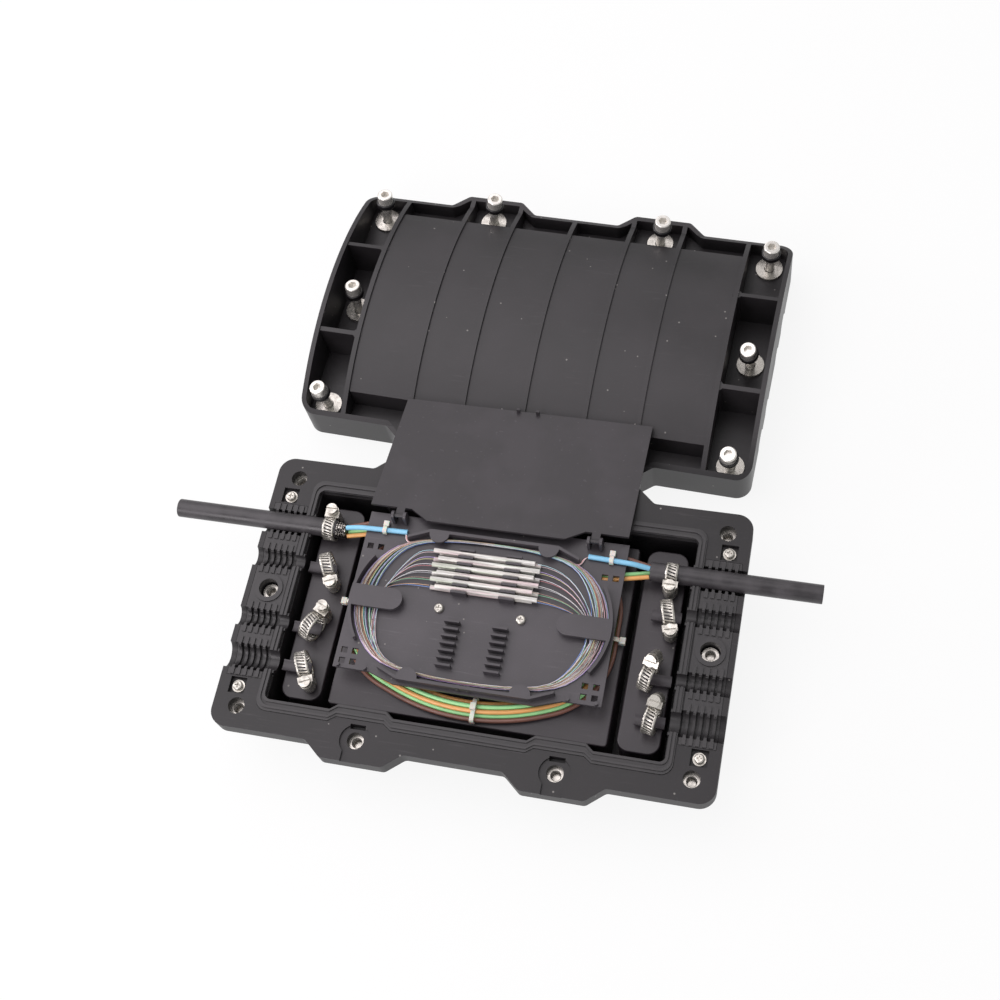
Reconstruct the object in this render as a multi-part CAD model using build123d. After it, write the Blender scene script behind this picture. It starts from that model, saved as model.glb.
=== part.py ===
"""Horizontal fibre splice closure, opened for work, in millimetres.

The base stands on its foot with the splice tray in it, the cover lies behind it with its outer
side up, and the tray's lid is swung back over the gap between them. The origin is at the centre
of the base's foot, X runs along the closure from cable to cable, Y runs back and Z up.
"""

import os
from math import atan2, cos, degrees, radians, sin, sqrt, tan

from build123d import *

# Plan outline that both half shells share
half_length = 144.0
half_depth = 85.3
shell_corner = 9.5
lug_x = 56.9
lug_reach = 8.7
lug_width = 36.4
lug_slope = 10.4
lug_blend = 4.0

# Cover bolts and their places
bolt_x = 130.0
bolt_y = 72.5
lug_bolt_y = 81.3
bolt_shank = 6.0
bolt_length = 35.0
bolt_head_width = 10.0
bolt_head_height = 6.0
hex_socket = 5.0
hex_depth = 3.2
bolt_seal_width = 12.0
bolt_seal_height = 4.0

# Base shell
base_height = 47.0
lip_height = 11.0
tub_top = (119.5, 70.5)
tub_foot = (116.0, 66.5)
tub_corner = 14.0
opening = (114.0, 65.4)
floor_opening = (112.2, 62.8)
opening_corner = 1.5
floor_thickness = 3.5
step_in = 3.6
step_width = 28.0
step_slope = 4.5
boss_width = 16.0
boss_drop = 14.0
bolt_hole = 9.6
insert_bore = 6.2
insert_length = 12.0
insert_depth = 6.0
lug_recess_width = 18.0
lug_recess_depth = 1.2
lug_slot = (9.0, 2.6)
lug_slot_depth = 5.0
side_block_depth = 20.0
gusset_thickness = 2.4

# Cable ports, their rubber seals and the perimeter gasket
outer_port_y = 43.0
inner_port_y = 19.0
outer_port_radius = 5.8
inner_port_radius = 3.8
groove_extra = 1.9
fin_count = 5
fin_thickness = 1.6
seal_x0 = 119.8
seal_x1 = 140.8
seal_half_depth = 55.0
seal_thickness = 10.0
seal_hole = 11.5
seal_ring_width = 17.0
tab_length = 5.0
tab_width = 2.2
tab_rise = 0.8
seal_screw_x = 132.5
seal_screw_y = 60.6
screw_pocket = 9.6
screw_pocket_depth = 3.0
gasket_outer = (119.4, 73.0)
gasket_corner = 7.0
gasket_depth = 2.5
gasket_proud = 0.5
gasket_margin = 0.6
gasket_outer_step = 3.2
ridge_width = 1.3
ridge_height = 0.8
collar_length = 5.6
collar_wall = 1.6
fit = 0.2

# Small pan head screws with washers
pan_head_width = 5.6
pan_head_height = 2.2
pan_shank = 3.0
pan_length = 8.0
small_washer_width = 7.4
small_washer_thickness = 0.8

# Cable brackets and the tray platform inside the tub
deck_z = 37.0
deck_thickness = 2.5
bracket_x0 = 86.0
bracket_x1 = 110.0
bracket_half_depth = 60.5
bracket_corner = 7.0
platform_half_length = 81.0
platform_half_depth = 60.0
cradle_x0 = 94.0
cradle_x1 = 111.0
cradle_width = 6.4
cradle_bottom = 39.6
cradle_post_x = 108.4
cradle_post_width = 4.4
cable_clearance = 0.3
cradle_wall = 1.3

# Cables
cable_radius = 5.5
cable_left_end = -199.0
cable_left_cut = -98.0
braid_end = -92.4
braid_radius = 4.9
cable_right_cut = 90.0
cable_right_end = 187.0

# Hose clamps
band_width = 7.0
band_thickness = 0.7
tight_radius = 5.75
tight_stretch = 2.65
loose_radius = 7.8
housing_length = 10.5
housing_wall = 0.7
housing_width = 8.6
worm_radius = 2.8
worm_clearance = 0.08
worm_head_radius = 3.3
worm_head_height = 3.6
worm_slot = 1.0

# Splice tray
tray_x = -1.5
tray_y = 1.0
tray_bottom = 49.0
tray_thickness = 2.0
tray_half_length = 77.5
tray_front = -42.0
tray_back = 55.5
tray_nose = -47.0
tray_nose_half = 41.0
tray_nose_slope = 15.0
tray_wall_height = 5.6
tray_wall_thickness = 1.8
tray_end_radius = 47.0
tray_end_centre = 29.5
end_wall_angle = 34.0
straight_wall_half = 38.0
wall_slope_run = 13.0
wall_slope_rise = 5.5
tab_thickness = 1.6
end_tab_width = 13.0
end_tab_reach = 24.5
end_tab_thickness = 2.2
disc_tab_x = 32.5
disc_tab_radius = 6.0
comb_x = 14.0
comb_length = 9.0
comb_thickness = 1.3
comb_pitch = 4.36
comb_height = 5.4
front_comb_y = -33.0
front_comb_fins = 7
rear_comb_y = 10.6
rear_comb_fins = 7
rear_comb_extra = 0.8
perforation = 3.6
perforation_pitch = 6.4
knob_x = 58.5
knob_pitch = 16.0
knob_radius = 1.1
knob_height = 2.4
tray_screw_x = 24.0
tray_boss_width = 9.0
latch_width = 8.0
sleeve_radius = 1.4
sleeve_length = 60.0
sleeve_lift = 0.05

# Tray lid and its hinge
hinge_y = 52.0
hinge_z = 58.3
hinge_x = 58.3
pin_radius = 1.3
pin_clearance = 0.06
ear_thickness = 1.6
ear_radius = 2.6
lid_arm_width = 5.0
lid_thickness = 1.4
lid_half_length = 77.0
lid_shoulder = 5.7
lid_reach = 91.0
lid_tongue = 1.4
lid_tongue_half = 41.0
lid_tongue_slope = 11.0
lid_open_angle = 193.9
lid_prong_width = 2.0
lid_prong_gap = 3.0
lid_prong_drop = 3.5

# Fibre and buffer tubes
tube_radius = 1.3
blue_radius = 1.5
tube_gap = 0.7
coil_right = 76.5
coil_left = -80.5
coil_back = 53.4
coil_corner = 40.0
coil_front_corner = 45.0
coil_front_radius = 120.0
coil_front = -66.5
coil_slope = 21.8
lane_pitch = 2.8
coil_lanes = 3.5
coil_low = 39.6
coil_high = 42.4
coil_pass = 47.4
coil_rise_x = 36.0
coil_lead_x = 66.0
fibre_radius = 0.35
fibre_loops = 8
fibre_inner_loop = 37.3
fibre_pitch = 0.85

# Cable ties
tie_width = 2.4
tie_thickness = 0.8
tie_head = 3.2
front_tie_x = 4.8

# Cover shell, in its own frame with the mating face at zero height
cover_x = -3.2
cover_y = 207.8
cover_turn = -2.25
cover_rim = 25.0
cover_arch_radius = 172.0
cover_wall = 3.0
cover_floor = 15.0
panel_half_length = 114.0
panel_half_depth = 68.7
panel_drop = 1.3
panel_wall = 3.4
rib_thickness = 3.0
rib_places = (-115.0, -72.0, -38.5, 0.0, 38.5, 72.0, 115.0)
cross_rib_y = 33.0
cross_rib_drop = 1.0
cross_boss_width = 6.0
cover_cavity = (110.0, 65.2)
cover_hole = 12.0
washer_width = 17.0
washer_bore = 6.6
washer_thickness = 1.6
bolt_leans = (
    (4.2, 8.4),
    (8.2, 4.6),
    (5.6, 1.3),
    (2.1, -0.4),
    (-0.6, 7.5),
    (-3.0, -8.8),
    (-3.5, -3.1),
    (-1.8, -9.0),
)

lug_half_turn = atan2(lug_reach, lug_slope) / 2
deck_gap = 0.3
port_rows = (
    (outer_port_y, outer_port_radius),
    (inner_port_y, inner_port_radius),
    (-inner_port_y, inner_port_radius),
    (-outer_port_y, outer_port_radius),
)


def at(x, y, z):
    return Pos(x, y, z)


def x_cylinder(x0, x1, y, z, radius):
    """Cylinder that lies along X between two places."""
    return at((x0 + x1) / 2, y, z) * Rot(0, 90, 0) * Cylinder(radius, abs(x1 - x0))


def block(x0, x1, y0, y1, z0, z1):
    """Box between two corners."""
    return at((x0 + x1) / 2, (y0 + y1) / 2, (z0 + z1) / 2) * Box(abs(x1 - x0), abs(y1 - y0), abs(z1 - z0))


def prism(points, z0, z1):
    """Upright prism on a closed outline of corners."""
    outline = make_face(Polyline(*points, close=True))
    return at(0, 0, z0) * extrude(outline, amount=z1 - z0)


def tapered(lower, upper, corner, z0, z1):
    """Tub form between two rounded rectangles of given half sizes."""
    low = at(0, 0, z0) * RectangleRounded(2 * lower[0], 2 * lower[1], corner)
    high = at(0, 0, z1) * RectangleRounded(2 * upper[0], 2 * upper[1], corner)
    return loft([low, high])


def plan(inset=0.0):
    """Plan of a half shell with its four lugs, moved inwards by inset."""
    hx = half_length - inset
    hy = half_depth - inset
    top = lug_width / 2 - inset * tan(lug_half_turn)
    foot = top + lug_slope
    front = []
    for lug in (-lug_x, lug_x):
        front += [(lug - foot, -hy), (lug - top, -hy - lug_reach)]
        front += [(lug + top, -hy - lug_reach), (lug + foot, -hy)]
    ring = [(-hx, -hy)] + front + [(hx, -hy), (hx, hy)]
    ring += [(-x, -y) for x, y in front] + [(-hx, hy)]
    face = make_face(Polyline(*ring, close=True))
    corners = face.vertices().filter_by(lambda v: abs(abs(v.X) - hx) < 0.01)
    face = fillet(corners, shell_corner - inset)
    others = face.vertices().filter_by(lambda v: abs(v.X) < lug_x + foot + 0.01)
    return fillet(others, lug_blend)


def stepped(half_x, half_y, step, corner):
    """Rounded rectangle whose long sides step inwards past each lug bolt."""
    top = step_width / 2
    foot = top + step_slope
    front = []
    for lug in (-lug_x, lug_x):
        front += [(lug - foot, -half_y), (lug - top, step - half_y)]
        front += [(lug + top, step - half_y), (lug + foot, -half_y)]
    ring = [(-half_x, -half_y)] + front + [(half_x, -half_y), (half_x, half_y)]
    ring += [(-x, -y) for x, y in front] + [(-half_x, half_y)]
    face = make_face(Polyline(*ring, close=True))
    corners = face.vertices().filter_by(lambda v: abs(abs(v.X) - half_x) < 0.01)
    return fillet(corners, corner)


def bolt_places():
    """Plan places of the ten cover bolts: the back row, the ends, then the front row."""
    back = [(-bolt_x, bolt_y), (-lug_x, lug_bolt_y), (lug_x, lug_bolt_y), (bolt_x, bolt_y)]
    middle = [(-bolt_x, 0.0), (bolt_x, 0.0)]
    front = [(-bolt_x, -bolt_y), (bolt_x, -bolt_y), (-lug_x, -lug_bolt_y), (lug_x, -lug_bolt_y)]
    return back + middle + front


def seal_screw_places():
    return [(sx * seal_screw_x, sy * seal_screw_y) for sx in (-1, 1) for sy in (-1, 1)]


def base_shell():
    """Deep tub with a thick bolted flange, moulded in one piece."""
    top = base_height
    under = top - lip_height
    shell = at(0, 0, under) * extrude(plan(), amount=lip_height)
    shell += tapered(tub_foot, tub_top, tub_corner, 0, under)
    for side in (-1, 1):
        shell += block(side * tub_foot[0], side * (half_length - 1.5), -58, 58, top - side_block_depth, under)
    for x, y in bolt_places():
        shell += at(x, y, under - boss_drop / 2) * Cylinder(boss_width / 2, boss_drop)
    for x in (-lug_x, 0.0, lug_x):
        for side in (-1, 1):
            y_wall = side * (tub_top[1] - 3)
            y_edge = side * (half_depth - 6)
            gusset = Polyline((y_wall, under), (y_edge, under), (y_wall, under - 22), close=True)
            web = extrude(Plane.YZ * make_face(gusset), amount=gusset_thickness / 2, both=True)
            shell += at(x, 0, 0) * web
    cavity = tapered(floor_opening, opening, opening_corner, floor_thickness, under)
    cavity += at(0, 0, under) * extrude(stepped(opening[0], opening[1], step_in, opening_corner), amount=lip_height)
    shell -= cavity
    rebate = stepped(gasket_outer[0], gasket_outer[1], gasket_outer_step, gasket_corner)
    shell -= at(0, 0, top - gasket_depth) * extrude(rebate, amount=gasket_depth)
    for side in (-1, 1):
        shell -= block(
            side * seal_x0, side * seal_x1, -seal_half_depth, seal_half_depth, top - seal_thickness, top
        )
        for y, radius in port_rows:
            notch = radius + groove_extra
            shell -= x_cylinder(side * (opening[0] - 5), side * seal_x0, y, top, radius + collar_wall + fit)
            shell -= x_cylinder(side * seal_x1, side * (half_length + 1), y, top, notch)
    for x, y in bolt_places():
        depth = insert_depth + insert_length
        shell -= at(x, y, top - depth / 2) * Cylinder(bolt_hole / 2, depth)
        if abs(x) < bolt_x:
            outward = 1 if y > 0 else -1
            shell -= at(x, y, top - lug_recess_depth / 2) * Cylinder(lug_recess_width / 2, lug_recess_depth)
            track = block(x - 6, x + 6, y, y + outward * 20, top - lug_recess_depth, top)
            shell -= track
            slot_y = y - outward * (lug_recess_width / 2 - lug_slot[1] / 2)
            shell -= at(x, slot_y, top - lug_slot_depth / 2) * Box(lug_slot[0], lug_slot[1], lug_slot_depth)
    for x, y in seal_screw_places():
        shell -= at(x, y, top - screw_pocket_depth / 2) * Box(screw_pocket, screw_pocket, screw_pocket_depth)
        hole = pan_length + small_washer_thickness
        shell -= at(x, y, top - screw_pocket_depth - hole / 2) * Cylinder(pan_shank / 2, hole)
    return shell


def base_gasket():
    """Rubber ring round the opening, with two ridges and a half collar at each port."""
    bottom = base_height - gasket_depth
    outer = stepped(gasket_outer[0] - fit, gasket_outer[1] - fit, gasket_outer_step, gasket_corner - fit)
    inner = stepped(opening[0] + gasket_margin, opening[1] + gasket_margin, step_in, opening_corner)
    ring = at(0, 0, bottom) * extrude(outer - inner, amount=gasket_depth + gasket_proud)
    width = (gasket_outer[1] - opening[1] - gasket_margin) / 4
    for lane in (1, 3):
        inset = lane * width
        corner = gasket_corner - inset / 2
        step = gasket_outer_step + (step_in - gasket_outer_step) * lane / 4
        wide = stepped(gasket_outer[0] - inset * 0.62, gasket_outer[1] - inset, step, corner)
        narrow = stepped(
            gasket_outer[0] - inset * 0.62 - ridge_width, gasket_outer[1] - inset - ridge_width, step, corner
        )
        ring += at(0, 0, bottom) * extrude(wide - narrow, amount=gasket_depth + gasket_proud + ridge_height)
    for side in (-1, 1):
        inner_end = side * (gasket_outer[0] - fit - collar_length)
        outer_end = side * (gasket_outer[0] - fit)
        for y, radius in port_rows:
            collar = x_cylinder(inner_end, outer_end, y, base_height, radius + collar_wall)
            collar -= block(inner_end, outer_end, y - 12, y + 12, base_height, base_height + 12)
            ring += collar
        for y, radius in port_rows:
            ring -= x_cylinder(side * (opening[0] - 6), side * (gasket_outer[0] + 2), y, base_height, radius)
    return ring


def port_seal(side):
    """Rubber block with four finned half channels and comb tabs beside them."""
    top = base_height
    x0 = seal_x0 + fit
    x1 = seal_x1 - fit
    pitch = (x1 - x0) / (fin_count + 0.5)
    seal = block(
        side * x0, side * x1, fit - seal_half_depth, seal_half_depth - fit, top - seal_thickness, top
    )
    seal += at(side * bolt_x, 0, top + tab_rise / 2) * Cylinder(seal_ring_width / 2, tab_rise)
    for y, radius in port_rows:
        for i in range(fin_count):
            x = side * (x0 + (i + 0.75) * pitch)
            for edge in (-1, 1):
                y_tab = y + edge * (radius + groove_extra + tab_length / 2 - 1.2)
                seal += at(x, y_tab, top + tab_rise / 2) * Box(tab_width, tab_length, tab_rise)
    for y, radius in port_rows:
        seal -= x_cylinder(side * (x0 - 1), side * (x1 + 1), y, top, radius)
        for i in range(fin_count + 1):
            x = side * (x0 + (i + 0.25) * pitch)
            half = (pitch - fin_thickness) / 2
            seal -= x_cylinder(x - half, x + half, y, top, radius + groove_extra)
    seal -= at(side * bolt_x, 0, top - seal_thickness / 2) * Cylinder(seal_hole / 2, seal_thickness + 4)
    return seal


def base_inserts():
    """Threaded metal inserts under the ten bolt holes, one part each."""
    inserts = []
    for x, y in bolt_places():
        middle = base_height - insert_depth - insert_length / 2
        ring = Cylinder(bolt_hole / 2, insert_length) - Cylinder(insert_bore / 2, insert_length)
        inserts.append(at(x, y, middle) * ring)
    return inserts


def pan_screw():
    """Pan head screw whose head stands on zero height, shank down."""
    head = at(0, 0, pan_head_height / 2) * Cylinder(pan_head_width / 2, pan_head_height)
    head = fillet(head.edges().group_by(Axis.Z)[-1], pan_head_height * 0.45)
    screw = head + at(0, 0, -pan_length / 2) * Cylinder(pan_shank / 2 - 0.02, pan_length)
    for turn in (0, 90):
        screw -= at(0, 0, pan_head_height - 0.5) * Rot(0, 0, turn) * Box(3.0, 0.7, 1.2)
    return screw


def small_washer():
    washer = Cylinder(small_washer_width / 2, small_washer_thickness)
    washer -= Cylinder(pan_shank / 2 + 0.2, small_washer_thickness)
    return at(0, 0, small_washer_thickness / 2) * washer


def seal_screws():
    z = base_height - screw_pocket_depth + small_washer_thickness
    return [at(x, y, z) * pan_screw() for x, y in seal_screw_places()]


def seal_washers():
    z = base_height - screw_pocket_depth
    return [at(x, y, z) * small_washer() for x, y in seal_screw_places()]


def hollow_stand(x0, x1, half_y, corner):
    """Raised deck on thin walls that reach down to the tub's floor."""
    wide = x1 - x0
    outline = at((x0 + x1) / 2, 0, 0) * RectangleRounded(wide, 2 * half_y, corner)
    inner = at((x0 + x1) / 2, 0, 0) * RectangleRounded(
        wide - 2 * deck_thickness, 2 * half_y - 2 * deck_thickness, max(corner - deck_thickness, 0.6)
    )
    stand = at(0, 0, floor_thickness) * extrude(outline, amount=deck_z - floor_thickness)
    stand = fillet(stand.edges().group_by(Axis.Z)[-1], 0.8)
    stand -= at(0, 0, floor_thickness) * extrude(inner, amount=deck_z - floor_thickness - deck_thickness)
    return stand


def cable_bracket(side):
    """Deck with four saddle bars that carry the cables' ends and the hose clamps."""
    bracket = hollow_stand(
        min(side * bracket_x0, side * bracket_x1), max(side * bracket_x0, side * bracket_x1),
        bracket_half_depth, bracket_corner,
    )
    for y, radius in port_rows:
        half = cradle_width / 2
        bar = block(side * cradle_x0, side * cradle_x1, y - half, y + half, cradle_bottom, base_height)
        trough = cable_radius + cable_clearance
        bar &= x_cylinder(side * cradle_x0, side * cradle_x1, y, base_height, trough + cradle_wall)
        bar -= x_cylinder(side * (cradle_x0 - 1), side * (cradle_x1 + 1), y, base_height, trough)
        bar -= block(
            side * (cradle_x0 - 1), side * (cradle_x1 + 1), y - half - 1, y + half + 1,
            base_height - sqrt(trough**2 - half**2), base_height,
        )
        post = block(
            side * cradle_post_x, side * cradle_x1, y - cradle_post_width / 2, y + cradle_post_width / 2,
            deck_z - 0.5, cradle_bottom + 0.5,
        )
        bracket += bar + post
    return bracket


def tray_platform():
    """Wide deck under the tray, with two bosses for the tray's screws."""
    deck = hollow_stand(-platform_half_length, platform_half_length, platform_half_depth, 2.0)
    for side in (-1, 1):
        x = tray_x + side * tray_screw_x
        height = tray_bottom - deck_z
        deck += at(x, tray_y, deck_z + height / 2) * Cylinder(tray_boss_width / 2, height)
        depth = pan_length + 1
        deck -= at(x, tray_y, tray_bottom - depth / 2) * Cylinder(pan_shank / 2, depth)
    return deck


def cable(x0, x1):
    """Round jacketed cable stub on the axis of the outer back ports."""
    jacket = x_cylinder(x0, x1, outer_port_y, base_height, cable_radius)
    return fillet(jacket.edges(), 0.4)


def cable_braid():
    """Short ringed end of the left cable's armour, where the tubes come out."""
    braid = x_cylinder(cable_left_cut, braid_end, outer_port_y, base_height, braid_radius - 1.1)
    count = 4
    step = (braid_end - cable_left_cut) / count
    for i in range(count):
        x = cable_left_cut + i * step
        braid += x_cylinder(x, x + step * 0.6, outer_port_y, base_height, braid_radius - 0.25 * i)
    return braid


def clamp_rows():
    """Each clamp: place along X, port, height, band radius, stretch, turns about Z and Y, housing angle."""
    tight = base_height + cable_radius + 0.1 - tight_radius - tight_stretch / 2
    stand = deck_z + deck_gap + loose_radius + band_thickness
    return (
        (-102.6, outer_port_y, tight, tight_radius, tight_stretch, 0.0, 0.0, 0.0),
        (-98.0, inner_port_y, stand, loose_radius, 0.0, 24.0, 0.0, 186.0),
        (-98.4, -inner_port_y, stand, loose_radius, 0.0, -24.0, 0.0, -4.0),
        (-97.2, -outer_port_y, stand, loose_radius, 0.0, 24.0, 0.0, 186.0),
        (102.2, outer_port_y, tight, tight_radius, tight_stretch, 0.0, 0.0, 180.0),
        (103.4, inner_port_y, stand, loose_radius, 0.0, 15.0, 0.0, 184.0),
        (98.0, -inner_port_y, stand, loose_radius, 0.0, -14.0, 0.0, 34.0),
        (103.6, -outer_port_y, stand, loose_radius, 0.0, -10.0, 0.0, 24.0),
    )


def clamp_place(row):
    x, y, z, radius, stretch, turn, lean, angle = row
    return at(x, y, z) * Rot(0, 0, turn) * Rot(0, lean, 0)


def band_face(radius, stretch):
    """Flat outline of a band, round or drawn out in height, in the YZ plane."""
    if stretch > 0:
        return Plane.YZ * SlotCenterToCenter(stretch, 2 * radius, rotation=90)
    return Plane.YZ * Circle(radius)


def band_solid(row, grow, width):
    radius, stretch = row[3] + grow, row[4]
    return extrude(band_face(radius, stretch), amount=width / 2, both=True)


def clamp_band(row):
    ring = band_solid(row, band_thickness, band_width) - band_solid(row, 0, band_width + 1)
    return clamp_place(row) * ring


def housing_frame(row):
    """Frame of the worm: origin on its axis, Z along it towards the slotted head."""
    radius, stretch, angle = row[3], row[4], row[7]
    reach = radius + band_thickness + worm_radius + worm_clearance + 0.15
    lift = stretch / 2 if abs(sin(radians(angle))) > 0.1 else 0
    y = reach * cos(radians(angle))
    z = reach * sin(radians(angle)) + lift
    flip = 0 if y > 0 else 180
    return at(0, y, z) * Rot(angle + flip, 0, 0)


def clamp_housing(row):
    """Folded sheet housing over the worm, cut to sit on the band."""
    bore = worm_radius + worm_clearance
    outer = bore + housing_wall
    shell = Cylinder(outer, housing_length)
    saddle = outer + 0.4
    base = Box(housing_width, saddle, housing_length)
    frame = housing_frame(row)
    inward = -1 if cos(radians(row[7])) > 0 else 1
    body = shell + at(0, inward * saddle / 2, 0) * base
    body -= Cylinder(bore, housing_length + 2)
    body = frame * body
    body -= band_solid(row, band_thickness, band_width + 4)
    return clamp_place(row) * body


def clamp_screw(row):
    """Worm screw with its slotted head above the housing."""
    length = housing_length + 1.6
    worm = at(0, 0, -0.4) * Cylinder(worm_radius, length)
    head_z = housing_length / 2 + 0.4 + worm_head_height / 2
    worm += at(0, 0, head_z) * Cylinder(worm_head_radius, worm_head_height)
    slot_z = head_z + worm_head_height / 2
    worm -= at(0, 0, slot_z) * Box(2 * worm_head_radius + 1, worm_slot, 2 * worm_slot)
    return clamp_place(row) * housing_frame(row) * worm


def tray_outline():
    """Plan of the tray plate, drawn forward in the middle of its front edge."""
    half = tray_half_length
    slope_end = tray_nose_half + tray_nose_slope
    points = [(-half, tray_front), (-slope_end, tray_front), (-tray_nose_half, tray_nose)]
    points += [(tray_nose_half, tray_nose), (slope_end, tray_front), (half, tray_front)]
    points += [(half, tray_back), (-half, tray_back)]
    return points


def tray_combs(first_y, count, height):
    """Two columns of fins that hold the sleeves between them."""
    top = tray_bottom + tray_thickness
    fins = []
    for side in (-1, 1):
        for i in range(count):
            y = first_y + i * comb_pitch
            fin = Box(comb_length, comb_thickness, height + 0.4)
            fins.append(at(side * comb_x, y, top + height / 2 - 0.2) * fin)
    return fins


def splice_tray():
    """Moulded tray with curved walls, holding tabs, combs and hinge ears."""
    low = tray_bottom
    top = tray_bottom + tray_thickness
    wall_top = top + tray_wall_height
    tray = prism(tray_outline(), low, top)
    for sx in (-1, 1):
        for sy, row_y in ((-1, tray_front + 4.2), (1, 33.9)):
            for i in range(2):
                for j in range(2 if sy < 0 else 1):
                    x = sx * (tray_half_length - 4.5 - i * perforation_pitch)
                    y = row_y + j * perforation_pitch
                    tray -= at(x, y, low + tray_thickness / 2) * Box(perforation, perforation, 2 * tray_thickness)
    for sx in (-1, 1):
        centre = sx * tray_end_centre
        ring = Cylinder(tray_end_radius, tray_wall_height + 0.5)
        ring -= Cylinder(tray_end_radius - tray_wall_thickness, tray_wall_height + 0.5)
        reach = tray_end_radius + 5
        spread = reach * sin(radians(end_wall_angle))
        run = sx * reach * cos(radians(end_wall_angle))
        wedge = prism([(0, 0), (run, -spread), (sx * (reach + 12), 0), (run, spread)], -10, 10)
        tray += at(centre, tray_y, top + tray_wall_height / 2 - 0.25) * (ring & wedge)
    for sy in (-1, 1):
        y_wall = sy * (tray_end_radius - tray_wall_thickness / 2) + (tray_y if sy > 0 else tray_y - 0.4)
        end_x = straight_wall_half + wall_slope_run
        end_y = y_wall - sy * wall_slope_rise
        inner = y_wall - sy * tray_wall_thickness
        points = [(-end_x, end_y), (-straight_wall_half, y_wall), (straight_wall_half, y_wall), (end_x, end_y)]
        points += [(end_x, end_y - sy * 1.6), (straight_wall_half, inner), (-straight_wall_half, inner)]
        points += [(-end_x, end_y - sy * 1.6)]
        tray += prism(points, top - 0.3, wall_top)
        for sx in (-1, 1):
            disc = at(sx * disc_tab_x, inner, wall_top - tab_thickness / 2) * Cylinder(disc_tab_radius, tab_thickness)
            edge = block(-80, 80, y_wall - sy * 0.2, y_wall + sy * 20, 0, 100)
            tray += disc - edge
    for sx in (-1, 1):
        outer_x = sx * (tray_end_centre + tray_end_radius - 0.3)
        tip_x = outer_x - sx * end_tab_reach
        strip = block(outer_x, tip_x, tray_y - end_tab_width / 2, tray_y + end_tab_width / 2, wall_top - end_tab_thickness, wall_top)
        tip = at(tip_x, tray_y, wall_top - end_tab_thickness / 2) * Cylinder(end_tab_width / 2, end_tab_thickness)
        tray += strip + tip
    rear_height = comb_height + rear_comb_extra
    combs = tray_combs(front_comb_y, front_comb_fins, comb_height)
    for fin in combs + tray_combs(rear_comb_y, rear_comb_fins, rear_height):
        tray += fin
    for sx in (-1, 1):
        for x in (knob_x, knob_x + knob_pitch):
            tray += at(sx * x, tray_front + 1.2, top + knob_height / 2 - 0.2) * Cylinder(knob_radius, knob_height)
    for sx in (-1, 1):
        tray -= at(sx * tray_screw_x, tray_y, low + tray_thickness / 2) * Cylinder(pan_shank / 2 + 0.2, 2 * tray_thickness)
    for sx in (-1, 1):
        tray += at(sx * 3.0, tray_nose + 2.6, top + 2.0) * Box(1.6, 3.0, 4.6)
    for sx in (-1, 1):
        for edge in (-1, 1):
            x = sx * hinge_x + edge * (lid_arm_width / 2 + ear_thickness / 2 + 0.3)
            ear = at(x, hinge_y, 0) * block(-ear_thickness / 2, ear_thickness / 2, -ear_radius, ear_radius, top - 0.5, hinge_z)
            ear += x_cylinder(x - ear_thickness / 2, x + ear_thickness / 2, hinge_y, hinge_z, ear_radius)
            ear -= x_cylinder(x - 5, x + 5, hinge_y, hinge_z, pin_radius + pin_clearance)
            tray += ear
    return at(tray_x, 0, 0) * tray


def tray_screws():
    z = tray_bottom + tray_thickness
    return [at(tray_x + sx * tray_screw_x, tray_y, z) * pan_screw() for sx in (-1, 1)]


def lid_closed():
    """Lid as it lies shut over the tray, hinged at its back edge."""
    half = lid_thickness / 2
    shoulder = hinge_y - lid_shoulder
    far = hinge_y - lid_reach
    back = hinge_y + lid_tongue
    inner = lid_tongue_half + lid_tongue_slope
    points = [(-lid_half_length, far), (lid_half_length, far), (lid_half_length, shoulder)]
    points += [(inner, shoulder), (lid_tongue_half, back), (-lid_tongue_half, back)]
    points += [(-inner, shoulder), (-lid_half_length, shoulder)]
    lid = prism(points, hinge_z - half, hinge_z + half)
    for sx in (-1, 1):
        x = sx * hinge_x
        arm = block(x - lid_arm_width / 2, x + lid_arm_width / 2, shoulder - 1, hinge_y, hinge_z - half, hinge_z + half)
        pin_half = lid_arm_width / 2 + 0.3 + ear_thickness
        lid += arm + x_cylinder(x - pin_half, x + pin_half, hinge_y, hinge_z, pin_radius)
    for sx in (-1, 1):
        x = sx * (lid_prong_gap / 2 + lid_prong_width / 2 + 3.6)
        lid += at(x, far + 0.8, hinge_z - lid_prong_drop / 2) * Box(lid_prong_width, 1.6, lid_prong_drop)
    return at(tray_x, 0, 0) * lid


def tray_lid():
    """Lid swung back until its far edge lies on the cover's ribs."""
    axis = Axis((0, hinge_y, hinge_z), (1, 0, 0))
    return lid_closed().rotate(axis, -lid_open_angle)


def splice_sleeves():
    """Two layers of shrunk sleeves in the rear comb."""
    top = tray_bottom + tray_thickness
    sleeves = []
    for row in range(rear_comb_fins - 1):
        y = rear_comb_y + (row + 0.5) * comb_pitch
        for layer in range(2):
            x = tray_x + (1.6 if (row + layer) % 2 else -1.6) - 0.4 * row
            z = top + sleeve_lift + sleeve_radius + layer * (2 * sleeve_radius + sleeve_lift)
            sleeves.append(x_cylinder(x - sleeve_length / 2, x + sleeve_length / 2, y, z, sleeve_radius))
    return sleeves


def fibre_loops_solids():
    """Racetrack loops of fibre stored round the tray, under its tabs."""
    loops = []
    for i in range(fibre_loops):
        radius = fibre_inner_loop + i * fibre_pitch
        z = tray_bottom + tray_thickness + 0.5 + 0.9 * (i % 3)
        track = at(tray_x, tray_y, z) * SlotCenterToCenter(2 * tray_end_centre, 2 * radius)
        path = track.faces()[0].outer_wire()
        start = path @ 0
        section = Plane(origin=start, z_dir=path % 0) * Circle(fibre_radius)
        loops.append(sweep(section, path=path))
    return loops


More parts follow.
